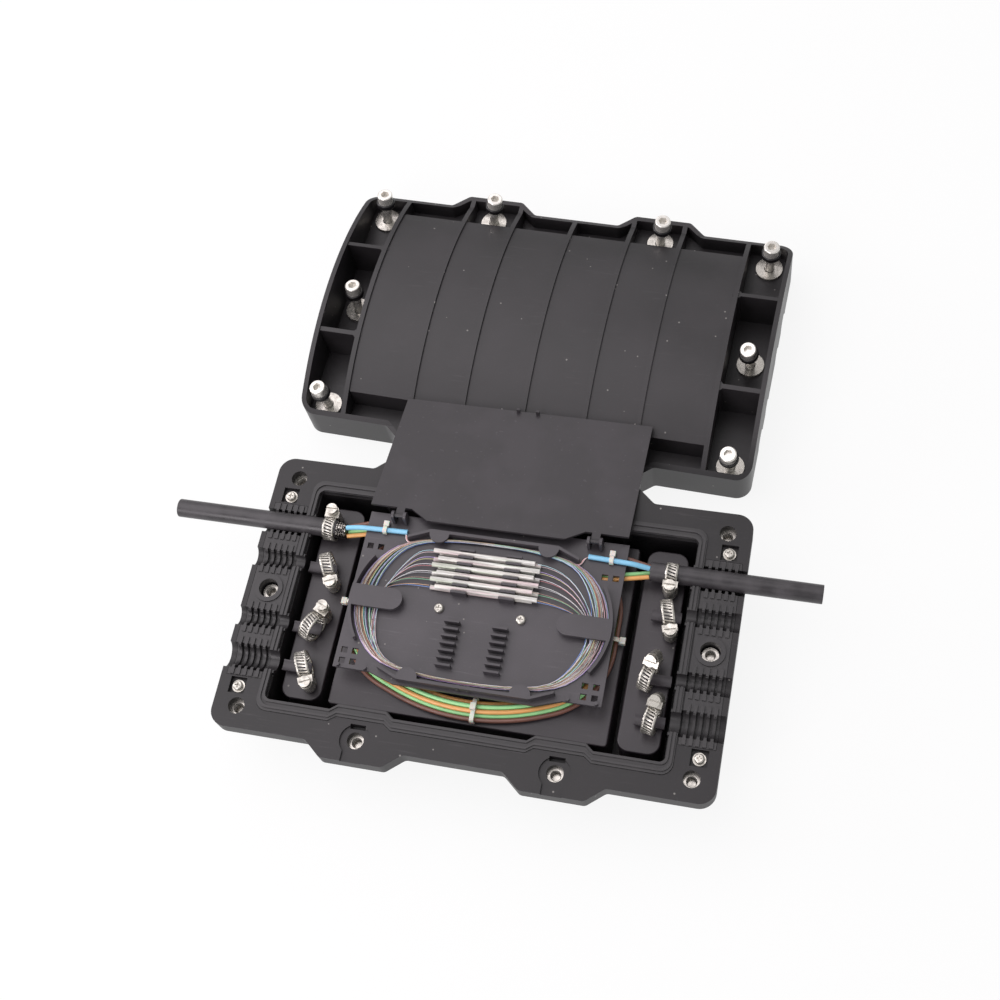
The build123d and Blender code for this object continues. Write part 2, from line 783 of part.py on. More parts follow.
def swept_tube(points, radii, radius):
    """Tube along straight runs joined by tangent arcs."""
    path = FilletPolyline(*points, radius=radii)
    section = Plane(origin=path @ 0, z_dir=path % 0) * Circle(radius)
    return sweep(section, path=path)


def coil_lane(lane, z, entry, leave, leave_z):
    """One pass of the coil from its right back corner round the front to its left back corner."""
    slope = tan(radians(coil_slope))
    offset = lane * lane_pitch
    nose = coil_front + offset / cos(radians(coil_slope))
    right = coil_right - offset
    left = coil_left + offset
    points = [(right, coil_back - entry * lane_pitch, z), (right, nose + right * slope, z)]
    points += [(0, nose, z), (left, nose - left * slope, z), (left, coil_back - leave * lane_pitch, z)]
    radii = [coil_corner - offset, coil_front_corner - offset, coil_front_radius - offset]
    radii += [coil_front_corner - offset, coil_corner - offset]
    run_y = coil_back - leave * lane_pitch
    points += [(-coil_rise_x, run_y, z), (coil_rise_x, run_y, leave_z)]
    return points, radii + [20, 20]


def coil_tube(start, end, entry, passes):
    """Tube that leaves the left cable, is coiled under the tray and enters the right cable."""
    run_y = coil_back - entry * lane_pitch
    points = [start, (-coil_lead_x, run_y, coil_pass), (-coil_rise_x, run_y, coil_pass)]
    points += [(coil_rise_x, run_y, passes[0][1])]
    radii = [30, 20, 20]
    for index, (lane, z, leave) in enumerate(passes):
        leave_z = passes[index + 1][1] if index + 1 < len(passes) else coil_pass
        more, turns = coil_lane(lane, z, entry, leave, leave_z)
        points += more
        radii += turns
        entry = leave
    points += [(coil_lead_x, points[-1][1], coil_pass), end]
    return swept_tube(points, radii + [30], tube_radius)


def blue_tube(side):
    """Blue tube that runs from a cable end onto the tray plate."""
    z_cable = base_height + 2.9
    z_tray = tray_bottom + tray_thickness + blue_radius + 0.1
    x_cable = braid_end + tube_gap if side < 0 else cable_right_cut - tube_gap
    edge = tray_x + side * (tray_half_length + 4.0)
    points = [(x_cable, outer_port_y + 0.4, z_cable), (edge, outer_port_y + 0.7, z_tray)]
    points += [(side * 54.0, outer_port_y + 1.6, z_tray)]
    return swept_tube(points, [20], blue_radius)


def tie_loop(width_y, height, thickness):
    """Closed strap round a bundle, standing in the YZ plane."""
    inner = Plane.YZ * RectangleRounded(width_y, height, min(width_y, height) * 0.35)
    outer = Plane.YZ * RectangleRounded(
        width_y + 2 * thickness, height + 2 * thickness, min(width_y, height) * 0.35 + thickness
    )
    strap = extrude(outer, amount=tie_width / 2, both=True)
    return strap - extrude(inner, amount=tie_width, both=True)


def cable_ties():
    """Natural nylon ties on the tube coil and on the two blue tubes."""
    low = coil_low - tube_radius - 0.2
    high = coil_high + tube_radius + 0.2
    span = coil_lanes * lane_pitch + 2 * tube_radius + 0.8
    half_way = coil_lanes * lane_pitch / 2
    nose = coil_front + coil_front_radius * (1 / cos(radians(coil_slope)) - 1)
    ties = []
    middle = (low + high) / 2
    front = at(front_tie_x, nose + half_way, middle) * tie_loop(span, high - low, tie_thickness)
    lock = Box(tie_head, tie_head + 0.6, tie_head)
    front += at(front_tie_x, nose + half_way + 1.0, high + tie_thickness + tie_head / 2 - 0.2) * lock
    ties.append(front)
    for side, edge in ((-1, coil_left), (1, coil_right)):
        x = edge - side * half_way
        strap = at(x, 0.5, middle) * Rot(0, 0, 90) * tie_loop(span, high - low, tie_thickness)
        strap += at(x + side * (span / 2 + tie_thickness + tie_head / 2 - 0.2), 0.5, middle + 1.0) * lock
        ties.append(strap)
    for side in (-1, 1):
        z = tray_bottom + tray_thickness + blue_radius + 0.1
        gap = 2 * blue_radius + 0.3
        x = side * 67.5
        y = outer_port_y + 1.2
        strap = at(x, y, z) * tie_loop(gap, gap, tie_thickness)
        strap -= block(x - 4, x + 4, y - 6, y + 6, 0, tray_bottom + tray_thickness + 0.02)
        strap += at(x, y + gap / 2 + tie_thickness + tie_head / 2 - 0.2, z + 0.4) * Box(tie_head, tie_head, tie_head - 1.0)
        ties.append(strap)
    return ties


def arch_block(drop, half_x):
    """Everything under the cover's arch, lowered by drop, with a level rim past its sides."""
    radius = cover_arch_radius - drop
    rim_y = sqrt(cover_arch_radius**2 - half_depth**2)
    centre_z = cover_rim - rim_y
    crown = centre_z + radius
    side_z = centre_z + sqrt(radius**2 - half_depth**2)
    arch = ThreePointArc((-half_depth, side_z), (0, crown), (half_depth, side_z))
    sides = Polyline((half_depth, side_z), (half_depth, -1), (-half_depth, -1), (-half_depth, side_z))
    section = make_face(Curve() + [arch, sides])
    return extrude(Plane.YZ * section, amount=half_x, both=True)


def cover_shell():
    """Arched outer skin with deep bolt pockets round it, moulded in one piece."""
    tall = 60.0
    outer = extrude(plan(), amount=tall)
    envelope = arch_block(0, half_length + 1) + block(
        -half_length, half_length, -half_depth - lug_reach - 1, half_depth + lug_reach + 1, -1, cover_rim
    )
    wall = outer - extrude(plan(cover_wall), amount=tall)
    slab = extrude(plan(), amount=cover_floor)
    panel = block(-panel_half_length, panel_half_length, -panel_half_depth, panel_half_depth, 0, tall)
    panel &= arch_block(panel_drop, half_length)
    ribs = Part()
    inside = half_depth - 1.0
    for x in rib_places:
        ribs += block(x - rib_thickness / 2, x + rib_thickness / 2, -inside, inside, 0, tall)
    for lug in (-lug_x, lug_x):
        for x in rib_places:
            if abs(abs(x) - lug_x) < lug_width / 2 + 2 and x * lug > 0:
                reach = half_depth + lug_reach - 1.0
                ribs += block(x - rib_thickness / 2, x + rib_thickness / 2, -reach, reach, 0, tall) & outer
    cross = Part()
    for sx in (-1, 1):
        for sy in (-1, 1):
            y = sy * cross_rib_y
            cross += block(sx * rib_places[-1], sx * (half_length - 1), y - 1.4, y + 1.4, 0, tall)
            cross += at(sx * (rib_places[-1] + 0.5), y, tall / 2) * Cylinder(cross_boss_width / 2, tall)
    cross &= arch_block(cross_rib_drop, half_length)
    shell = ((wall + ribs) & envelope) + slab + panel + cross
    cavity = block(-cover_cavity[0], cover_cavity[0], -cover_cavity[1], cover_cavity[1], -1, tall)
    cavity &= arch_block(panel_drop + panel_wall, half_length)
    shell -= cavity
    for side in (-1, 1):
        for y, radius in port_rows:
            shell -= x_cylinder(side * (cover_cavity[0] - 2), side * (half_length + 1), y, 0, radius + groove_extra)
    for x, y in bolt_places():
        shell -= at(x, y, 0) * Cylinder(cover_hole / 2, 2 * cover_floor + 1)
    return in_cover_place(shell)


def in_cover_place(shape):
    return at(cover_x, cover_y, 0) * Rot(0, 0, cover_turn) * shape


def cover_washers():
    """Flat steel washers on the pocket floors."""
    washers = []
    for x, y in bolt_places():
        ring = Cylinder(washer_width / 2, washer_thickness) - Cylinder(washer_bore / 2, washer_thickness)
        washers.append(in_cover_place(at(x, y, cover_floor + washer_thickness / 2) * ring))
    return washers


def bolt_frame(index):
    """Frame of a captive bolt: origin at its tip, Z along the bolt, which leans in its washer."""
    x, y = bolt_places()[index]
    lean_x, lean_y = bolt_leans[index]
    washer_z = cover_floor + washer_thickness / 2
    tilt = Rot(-lean_y, 0, 0) * Rot(0, lean_x, 0)
    lean = radians(sqrt(lean_x**2 + lean_y**2))
    tip = washer_z / cos(lean) - bolt_shank / 2 * tan(lean)
    return at(cover_x, cover_y, 0) * Rot(0, 0, cover_turn) * at(x, y, washer_z) * tilt * at(0, 0, -tip)


def cover_bolt(index):
    """Socket head bolt, standing on its tip."""
    bolt = at(0, 0, bolt_length / 2) * Cylinder(bolt_shank / 2, bolt_length)
    bolt = chamfer(bolt.edges().group_by(Axis.Z)[0], 0.8)
    head = at(0, 0, bolt_length + bolt_head_height / 2) * Cylinder(bolt_head_width / 2, bolt_head_height)
    bolt += fillet(head.edges().group_by(Axis.Z)[-1], 0.8)
    socket = extrude(RegularPolygon(hex_socket / 2, 6, major_radius=False), amount=hex_depth)
    bolt -= at(0, 0, bolt_length + bolt_head_height - hex_depth) * socket
    return bolt_frame(index) * bolt


def bolt_seal(index):
    """Rubber sealing sleeve under a bolt's head."""
    ring = Cylinder(bolt_seal_width / 2, bolt_seal_height)
    ring = fillet(ring.edges().group_by(Axis.Z)[0] + ring.edges().group_by(Axis.Z)[-1], 0.9)
    ring -= Cylinder(bolt_shank / 2, bolt_seal_height + 1)
    return bolt_frame(index) * at(0, 0, bolt_length - bolt_seal_height / 2) * ring


def all_parts():
    """Every piece by name: one shape, or a list of separate ones."""
    rows = clamp_rows()
    parts = {
        "base_shell": base_shell(),
        "base_gasket": base_gasket(),
        "port_seal_left": port_seal(-1),
        "port_seal_right": port_seal(1),
        "base_inserts": base_inserts(),
        "seal_screws": seal_screws(),
        "seal_washers": seal_washers(),
        "cable_bracket_left": cable_bracket(-1),
        "cable_bracket_right": cable_bracket(1),
        "tray_platform": tray_platform(),
        "cable_left": cable(cable_left_end, cable_left_cut),
        "cable_right": cable(cable_right_cut, cable_right_end),
        "cable_braid": cable_braid(),
        "clamp_bands": [clamp_band(row) for row in rows],
        "clamp_housings": [clamp_housing(row) for row in rows],
        "splice_tray": splice_tray(),
        "tray_screws": tray_screws(),
        "tray_lid": tray_lid(),
        "splice_sleeves": splice_sleeves(),
        "fibre_loops": fibre_loops_solids(),
        "tube_blue_left": blue_tube(-1),
        "tube_blue_right": blue_tube(1),
        "cable_ties": cable_ties(),
        "cover_shell": cover_shell(),
        "cover_washers": cover_washers(),
    }
    y, z = outer_port_y, base_height
    left = braid_end + tube_gap
    right = cable_right_cut - tube_gap
    low, high = coil_low, coil_high
    parts["tube_brown"] = coil_tube(
        (left, y + 3.1, z - 1.4), (right, y + 3.1, z - 1.0), 0, ((0, low, 1),)
    )
    parts["tube_green"] = coil_tube(
        (left, y, z - 2.4), (right, y - 0.4, z - 2.4), 2, ((1, low, 4), (2.5, high, 6))
    )
    parts["tube_orange"] = coil_tube(
        (left, y - 3.1, z - 1.4), (right, y - 3.4, z - 0.6), 3, ((1.5, high, 5), (3.5, low, 7))
    )
    for number, row in enumerate(rows, 1):
        parts[f"clamp_screw_{number}"] = clamp_screw(row)
    for index in range(len(bolt_leans)):
        parts[f"cover_bolt_{index + 1}"] = cover_bolt(index)
        parts[f"bolt_seal_{index + 1}"] = bolt_seal(index)
    return parts


def write_parts():
    os.makedirs("parts", exist_ok=True)
    for name, shape in all_parts().items():
        solids = shape if isinstance(shape, list) else [shape]
        flat = [solid for item in solids for solid in item.solids()]
        whole = flat[0] if len(flat) == 1 else Compound(children=flat)
        export_step(whole, f"parts/{name}.step")


write_parts()
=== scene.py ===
import math
import random

import bmesh
import bpy
from mathutils import Matrix, Vector


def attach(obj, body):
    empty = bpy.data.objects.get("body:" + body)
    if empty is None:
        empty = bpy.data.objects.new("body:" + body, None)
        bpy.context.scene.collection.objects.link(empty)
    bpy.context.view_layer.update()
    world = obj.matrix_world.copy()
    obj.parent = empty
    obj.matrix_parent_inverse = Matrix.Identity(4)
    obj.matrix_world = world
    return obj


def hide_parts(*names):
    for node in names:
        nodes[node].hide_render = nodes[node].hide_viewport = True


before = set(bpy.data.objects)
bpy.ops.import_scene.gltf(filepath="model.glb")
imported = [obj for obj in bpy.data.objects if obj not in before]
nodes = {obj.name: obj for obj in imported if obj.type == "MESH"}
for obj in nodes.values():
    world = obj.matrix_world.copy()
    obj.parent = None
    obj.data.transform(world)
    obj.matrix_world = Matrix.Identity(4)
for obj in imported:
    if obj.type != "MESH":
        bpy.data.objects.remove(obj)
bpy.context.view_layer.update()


# Camera and framing.
# The photograph looks down from the front right, a little under a metre away.

camera_data = bpy.data.cameras.new("camera")
camera_data.sensor_width = 36.0
camera_data.lens = 53.51
camera_data.clip_start = 0.01
camera = bpy.data.objects.new("camera", camera_data)
bpy.context.scene.collection.objects.link(camera)
look_right = Vector((0.97227, 0.19576, -0.12792))
look_up = Vector((-0.12472, 0.89683, 0.42443))
look_back = look_right.cross(look_up)
camera.matrix_world = Matrix.Translation((0.16904, -0.27408, 0.83623)) @ Matrix(
    (look_right, look_up, look_back)
).transposed().to_4x4()
bpy.context.scene.camera = camera


# Base shell and cover shell.
# Two halves of black glass-filled moulding with a fine matt grain. Handling has left
# faint lighter scuffs on the flats, and a few grains of pale dust lie on them.

class Wire:
    """An output socket in a finish's node tree. Expressions on it add their Math nodes."""

    def __init__(self, finish, socket):
        self.finish = finish
        self.socket = socket

    def maths(self, operation, first, second=0.0):
        return self.finish.node("ShaderNodeMath", {"operation": operation}, {0: first, 1: second})

    def __add__(self, other):
        return self.maths("ADD", self, other)

    def __radd__(self, other):
        return self.maths("ADD", other, self)

    def __sub__(self, other):
        return self.maths("SUBTRACT", self, other)

    def __rsub__(self, other):
        return self.maths("SUBTRACT", other, self)

    def __mul__(self, other):
        return self.maths("MULTIPLY", self, other)

    def __rmul__(self, other):
        return self.maths("MULTIPLY", other, self)


class Finish:
    """One material in the making, with its main shader and the one way to add a node."""

    def __init__(self, name, colour, roughness, metallic=0.0, **shader):
        self.material = bpy.data.materials.new(name)
        self.material.use_nodes = True
        self.tree = self.material.node_tree
        self.shader = self.tree.nodes["Principled BSDF"]
        self.shader.inputs["Base Color"].default_value = (*colour, 1.0)
        self.shader.inputs["Roughness"].default_value = roughness
        self.shader.inputs["Metallic"].default_value = metallic
        for key, value in shader.items():
            self.shader.inputs[key.replace("_", " ").title().replace("Ior", "IOR")].default_value = value

    def node(self, kind, settings=None, sockets=None, out=0):
        made = self.tree.nodes.new(kind)
        for key, value in (settings or {}).items():
            if key == "stops":
                stops = made.color_ramp.elements
                while len(stops) < len(value):
                    stops.new(0.5)
                for stop, (place, colour) in zip(stops, value):
                    stop.position = place
                    stop.color = (*colour, 1.0)
            else:
                setattr(made, key, value)
        for key, value in (sockets or {}).items():
            if isinstance(value, Wire):
                self.tree.links.new(value.socket, made.inputs[key])
            else:
                made.inputs[key].default_value = value
        return Wire(self, made.outputs[out])

    def place(self):
        return self.node("ShaderNodeTexCoord", out="Object")

    def noise(self, scale, detail=2.0, place=None):
        sockets = {"Vector": place or self.place(), "Scale": scale, "Detail": detail}
        return self.node("ShaderNodeTexNoise", None, sockets)

    def between(self, value, low, high):
        sockets = {"Value": value, "From Min": low, "From Max": high}
        return self.node("ShaderNodeMapRange", {"clamp": True}, sockets)

    def mix(self, factor, first, second):
        sockets = {"Factor": factor}
        for key, colour in ((6, first), (7, second)):
            sockets[key] = colour if isinstance(colour, Wire) else (*colour, 1.0)
        return self.node("ShaderNodeMix", {"data_type": "RGBA"}, sockets, out=2)

    def feed(self, name, value):
        self.tree.links.new(value.socket, self.shader.inputs[name])

    def bump(self, height, strength, distance):
        sockets = {"Height": height, "Strength": strength, "Distance": distance}
        self.feed("Normal", self.node("ShaderNodeBump", None, sockets))


def dress(finish, *names):
    """Gives CAD nodes a finish in all their material slots."""
    for name in names:
        mesh = nodes[name].data
        mesh.materials.clear()
        mesh.materials.append(finish.material)


dust_colour = (0.20, 0.19, 0.18)


def moulded(name, dark, pale, roughness, grain, scuffs):
    """Black moulded plastic: grain, slow changes of gloss, faint pale scuffs and dust."""
    finish = Finish(name, dark, roughness, specular_ior_level=0.5)
    slow = finish.noise(22.0, 3.0)
    speck = finish.between(finish.noise(900.0, 2.0), 0.62, 0.78)
    drawn_out = {"Vector": finish.place(), "Rotation": (0.0, 0.0, 0.5), "Scale": (1.0, 14.0, 4.0)}
    stretched = finish.node("ShaderNodeMapping", None, drawn_out)
    scratch = finish.between(finish.noise(55.0, 6.0, stretched), 0.60, 0.74)
    worn = finish.between(finish.noise(35.0, 3.0), 0.45, 0.70)
    cells = finish.node("ShaderNodeTexVoronoi", None, {"Vector": finish.place(), "Scale": 95.0})
    dust = finish.between(cells, 0.060, 0.045)
    pale_share = finish.between(slow, 0.3, 0.7) * 0.35 + speck * 0.25 + scratch * worn * scuffs
    finish.feed("Base Color", finish.mix(dust, finish.mix(pale_share, dark, pale), dust_colour))
    finish.feed("Roughness", roughness + finish.between(slow, 0.2, 0.8) * 0.12 - scratch * worn * 0.1)
    finish.bump(finish.noise(2400.0, 3.0) * 0.6 + finish.noise(500.0, 2.0) * 0.4, grain, 0.00012)
    return finish


base_plastic = moulded("base_plastic", (0.009, 0.0080, 0.009), (0.042, 0.037, 0.041), 0.43, 0.30, 0.85)
dress(base_plastic, "base_shell")
cover_plastic = moulded("cover_plastic", (0.013, 0.0115, 0.013), (0.052, 0.046, 0.051), 0.34, 0.24, 0.45)
dress(cover_plastic, "cover_shell")


# Perimeter gasket and cable port seals.
# Black moulded rubber, softer and duller than the shells, pressed into the flange's groove
# and end pockets, with a bloom of pale dust. The rings under the bolt heads are cleaner.

rubber = Finish("seal_rubber", (0.030, 0.028, 0.030), 0.5)
bloom = rubber.between(rubber.noise(60.0, 5.0), 0.42, 0.72)
rubber.feed("Base Color", rubber.mix(bloom * 0.6, (0.028, 0.026, 0.028), (0.070, 0.066, 0.068)))
rubber.feed("Roughness", 0.38 + bloom * 0.25)
rubber.bump(rubber.noise(1500.0, 3.0), 0.3, 0.00010)
dress(rubber, "base_gasket", "port_seal_left", "port_seal_right")
bolt_rubber = Finish("bolt_rubber", (0.010, 0.009, 0.010), 0.34)
bolt_rubber.feed("Roughness", 0.30 + bolt_rubber.noise(200.0) * 0.12)


# Cable brackets, the platform under the tray, the splice tray and its lid.
# Smoother black mouldings, screwed into the tub or hinged. The tray has rub marks from
# fibres and fingers, and the lid has faint cloudy smudges.

deck_plastic = moulded("deck_plastic", (0.030, 0.0255, 0.030), (0.082, 0.072, 0.081), 0.32, 0.12, 0.60)
dress(deck_plastic, "cable_bracket_left", "cable_bracket_right", "tray_platform")
tray_plastic = moulded("tray_plastic", (0.043, 0.038, 0.044), (0.115, 0.104, 0.116), 0.32, 0.12, 0.75)
dress(tray_plastic, "splice_tray")
lid_dark = (0.030, 0.0265, 0.030)
lid_pale = (0.080, 0.072, 0.080)
lid_plastic = Finish("lid_plastic", lid_dark, 0.4)
smudge = lid_plastic.between(lid_plastic.noise(30.0, 3.0), 0.44, 0.62)
speckle = lid_plastic.between(lid_plastic.noise(420.0, 1.0), 0.70, 0.76)
lid_plastic.feed("Base Color", lid_plastic.mix(smudge * 0.30 + speckle * 0.4, lid_dark, lid_pale))
lid_plastic.feed("Roughness", 0.36 + smudge * 0.10)
lid_plastic.bump(lid_plastic.noise(2400.0, 2.0), 0.12, 0.00010)
dress(lid_plastic, "tray_lid")


# Bolts, washers, inserts and small screws.
# Stainless steel, turned or pressed, darkened in random patches by painted shade. The inserts and the
# cover's washers are nickel plated.

def bright_metal(name, colour, roughness, scratches, painted_shade, metallic):
    finish = Finish(name, colour, roughness, metallic)
    # The darker patches mixed into the base colour are painted shade, laid at random over the metal.
    patch = finish.between(finish.noise(420.0, 4.0), 0.38, 0.62)
    broad = finish.between(finish.noise(160.0, 2.0), 0.42, 0.60)
    shaded_colour = tuple(0.42 * c for c in colour)
    finish.feed("Base Color", finish.mix((patch * 0.6 + broad * 0.4) * painted_shade, colour, shaded_colour))
    finish.feed("Roughness", roughness + patch * 0.12)
    finish.bump(finish.noise(900.0, 3.0), scratches, 0.00008)
    return finish


stainless = bright_metal("stainless", (0.70, 0.67, 0.61), 0.24, 0.35, 0.80, 0.80)
nickel = bright_metal("nickel", (0.66, 0.63, 0.58), 0.20, 0.12, 0.40, 0.75)
bolt_steel = bright_metal("bolt_steel", (0.88, 0.85, 0.80), 0.17, 0.06, 0.25, 0.70)
dress(stainless, "seal_screws", "seal_washers", "tray_screws", "clamp_bands", "clamp_housings")
dress(nickel, "base_inserts", "cover_washers")
for name in nodes:
    if name.startswith("cover_bolt_"):
        dress(bolt_steel, name)
    if name.startswith("clamp_screw_"):
        dress(stainless, name)
    if name.startswith("bolt_seal_"):
        dress(bolt_rubber, name)


# Threads of the inserts.
# Each insert is nickel plated brass, moulded into the base, blind, and cut with a fine
# inner thread. The CAD insert keeps a plain bore, and this lines it.

insert_bore = 0.00305
insert_mouth = 0.0409
insert_depth = 0.0045
thread_depth = 0.0005
thread_pitch = 0.0008
thread_turns = 7
turn_steps = 24
hole_places = [(x, y) for x in (-0.130, 0.130) for y in (-0.0725, 0.0, 0.0725)]
hole_places += [(x, y) for x in (-0.0569, 0.0569) for y in (-0.0813, 0.0813)]

build = bmesh.new()
for x, y in hole_places:
    rim = build.verts.new((x + insert_bore, y, insert_mouth))
    crest = build.verts.new((x + insert_bore - thread_depth, y, insert_mouth - thread_pitch / 2))
    root = build.verts.new((x + insert_bore, y, insert_mouth - thread_pitch))
    flanks = [build.edges.new((rim, crest)), build.edges.new((crest, root))]
    bmesh.ops.spin(
        build, geom=[rim, crest, root] + flanks, cent=(x, y, insert_mouth), axis=(0.0, 0.0, 1.0),
        dvec=(0.0, 0.0, -thread_pitch / turn_steps), angle=2 * math.pi * thread_turns,
        steps=thread_turns * turn_steps, use_merge=False, use_duplicate=False,
    )
bmesh.ops.reverse_faces(build, faces=build.faces)
for x, y in hole_places:
    bottom = Matrix.Translation((x, y, insert_mouth - insert_depth))
    reach = insert_bore - 0.0001
    bmesh.ops.create_circle(build, cap_ends=True, segments=turn_steps, radius=reach, matrix=bottom)
thread_mesh = bpy.data.meshes.new("insert_threads")
build.to_mesh(thread_mesh)
build.free()
thread_mesh.materials.append(nickel.material)
threads = bpy.data.objects.new("insert_threads", thread_mesh)
bpy.context.scene.collection.objects.link(threads)
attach(threads, "base")


# Cables.
# Round cables in black polyethylene jackets, semi matt and slightly hazed by handling.
# A tight clamp holds each on its saddle bar, and each ends in a plain cut.

jacket = Finish("cable_jacket", (0.024, 0.023, 0.025), 0.42)
jacket_haze = jacket.between(jacket.noise(90.0, 3.0), 0.35, 0.7)
jacket.feed("Base Color", jacket.mix(jacket_haze * 0.6, (0.030, 0.027, 0.030), (0.085, 0.078, 0.084)))
jacket.feed("Roughness", 0.30 + jacket_haze * 0.16)
jacket.bump(jacket.noise(700.0, 3.0), 0.2, 0.00010)
dress(jacket, "cable_left", "cable_right")


# Armour end of the left cable.
# Fine steel wires with dark gaps between them, cut back to a ring just past the jacket,
# where the tubes come out.

braid_wire = Finish("braid_wire", (0.40, 0.38, 0.35), 0.3, 1.0)
slant = {"Vector": braid_wire.place(), "Rotation": (0.0, 0.6, 0.5), "Scale": (1.0, 5.0, 5.0)}
strand_way = braid_wire.node("ShaderNodeMapping", None, slant)
wires = braid_wire.between(braid_wire.noise(260.0, 4.0, strand_way), 0.46, 0.58)
braid_wire.feed("Base Color", braid_wire.mix(wires, (0.012, 0.011, 0.012), (0.55, 0.52, 0.48)))
braid_wire.bump(wires, 0.6, 0.0002)
dress(braid_wire, "cable_braid")


# Buffer tubes.
# Extruded tubes in their usual colours, smooth with a soft sheen. The blue ones end at the
# tray, and the others lie coiled under it.

def tube_finish(name, colour):
    finish = Finish(name, colour, 0.3, specular_ior_level=0.5, coat_weight=0.25, coat_roughness=0.15)
    streak = finish.between(finish.noise(150.0, 3.0), 0.3, 0.75)
    finish.feed("Base Color", finish.mix(streak * 0.4, colour, tuple(0.68 * c for c in colour)))
    finish.feed("Roughness", 0.26 + streak * 0.12)
    return finish


dress(tube_finish("blue_tube", (0.25, 0.60, 0.86)), "tube_blue_left", "tube_blue_right")
dress(tube_finish("orange_tube", (0.93, 0.46, 0.15)), "tube_orange")
dress(tube_finish("green_tube", (0.40, 0.86, 0.38)), "tube_green")
dress(tube_finish("brown_tube", (0.22, 0.10, 0.075)), "tube_brown")


# Cable ties.
# Moulded natural nylon, milky and slightly translucent, pulled tight round the tubes and
# cut short at the head.

nylon = Finish("natural_nylon", (0.70, 0.69, 0.62), 0.32, subsurface_weight=0.3, subsurface_scale=0.002)
nylon.feed("Roughness", 0.32 + nylon.between(nylon.noise(300.0), 0.3, 0.7) * 0.15)
dress(nylon, "cable_ties")


# Splice sleeves.
# Clear sleeves, each shrunk by heat over its splice and a steel rod, which read as pale
# bars. They lie in two layers between the rear comb's fins.

sleeve_clear = Finish("sleeve_clear", (0.72, 0.70, 0.64), 0.2, coat_weight=0.5, coat_roughness=0.1)
lengthwise = {"Vector": sleeve_clear.place(), "Scale": (0.06, 1.0, 1.0)}
along = sleeve_clear.node("ShaderNodeMapping", None, lengthwise)
sleeve_tints = (
    (0.34, (0.70, 0.56, 0.57)),
    (0.44, (0.82, 0.79, 0.73)),
    (0.58, (0.84, 0.83, 0.80)),
    (0.68, (0.68, 0.73, 0.60)),
)
patches = {"Fac": sleeve_clear.noise(300.0, 1.0, along)}
tint = sleeve_clear.node("ShaderNodeValToRGB", {"stops": sleeve_tints}, patches)
cloud = sleeve_clear.between(sleeve_clear.noise(900.0, 3.0, along), 0.40, 0.62)
sleeve_clear.feed("Base Color", sleeve_clear.mix(cloud * 0.62, tint, (0.27, 0.25, 0.24)))
dress(sleeve_clear, "splice_sleeves")


# Fibres.
# Coated glass fibres in the twelve usual colours. Twelve run from a sleeve's right end once
# round the tray to its left end, twelve more are spare loops, and four come from each blue
# tube. All are held loosely under the tabs.

shuffle = random.Random(11)
tray_middle = (-0.0015, 0.001)
tray_half_run = 0.0295
fibre_low = 0.0516
fibre_radius = 0.00015
comb_first_y = 0.0106
comb_pitch = 0.00436
sleeve_low_z = 0.05245
sleeve_layer = 0.00285
fibre_colours = {
    "blue": (0.20, 0.38, 0.92), "orange": (0.82, 0.50, 0.30), "green": (0.28, 0.72, 0.42),
    "brown": (0.42, 0.26, 0.20), "grey": (0.60, 0.60, 0.64), "white": (1.0, 0.99, 0.99),
    "red": (0.66, 0.22, 0.24), "natural": (0.90, 0.86, 0.92), "yellow": (0.92, 0.86, 0.44),
    "violet": (0.60, 0.44, 0.88), "pink": (0.95, 0.72, 0.76), "aqua": (0.56, 0.84, 0.92),
}
fibre_finishes = []
for colour_name, colour in fibre_colours.items():
    finish = Finish("fibre_" + colour_name, colour, 0.24, coat_weight=0.6, coat_roughness=0.1)
    finish.feed("Roughness", 0.22 + finish.between(finish.noise(250.0), 0.3, 0.7) * 0.14)
    fibre_finishes.append(finish)


def oval(turn, ends, sides, height):
    """A place on the fibres' oval, by the turn clockwise from its right end."""
    middle = tray_half_run * (1 if math.cos(turn) > 0 else -1)
    x = tray_middle[0] + middle + (ends + shuffle.uniform(-0.0003, 0.0003)) * math.cos(turn)
    y = tray_middle[1] - (sides + shuffle.uniform(-0.0003, 0.0003)) * math.sin(turn)
    return (x, y, height + shuffle.uniform(-0.0003, 0.0003))


def lap(turns, reach, height):
    """Places along turns of the oval, wide apart at the ends and close along the straight walls."""
    right = reach + shuffle.uniform(-0.0006, 0.0006)
    left = reach + shuffle.uniform(-0.0006, 0.0006)
    front = 0.0448 - (0.0465 - reach) * 0.14
    back = 0.0456 - (0.0465 - reach) * 0.12
    places = []
    for turn in turns:
        ends = min(right if math.cos(turn) > 0 else left, 0.0466)
        places.append(oval(turn, ends, front if math.sin(turn) > 0 else back, height))
    return places


def loose_reach(start, apart, place):
    """How far out a strand lies: in bunches of three, with gaps between the bunches."""
    bunch, within = divmod(place, 3)
    return start + apart * bunch + 0.0003 * within


def fibre(name, points, finish, closed):
    curve = bpy.data.curves.new(name, "CURVE")
    curve.dimensions = "3D"
    curve.bevel_depth = fibre_radius
    curve.bevel_resolution = 0
    curve.resolution_u = 4
    spline = curve.splines.new("NURBS")
    spline.points.add(len(points) - 1)
    for point, place in zip(spline.points, points):
        point.co = (*place, 1.0)
    spline.order_u = 4
    spline.use_cyclic_u = closed
    spline.use_endpoint_u = not closed
    curve.materials.append(finish.material)
    strand = bpy.data.objects.new(name, curve)
    bpy.context.scene.collection.objects.link(strand)
    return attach(strand, "base")


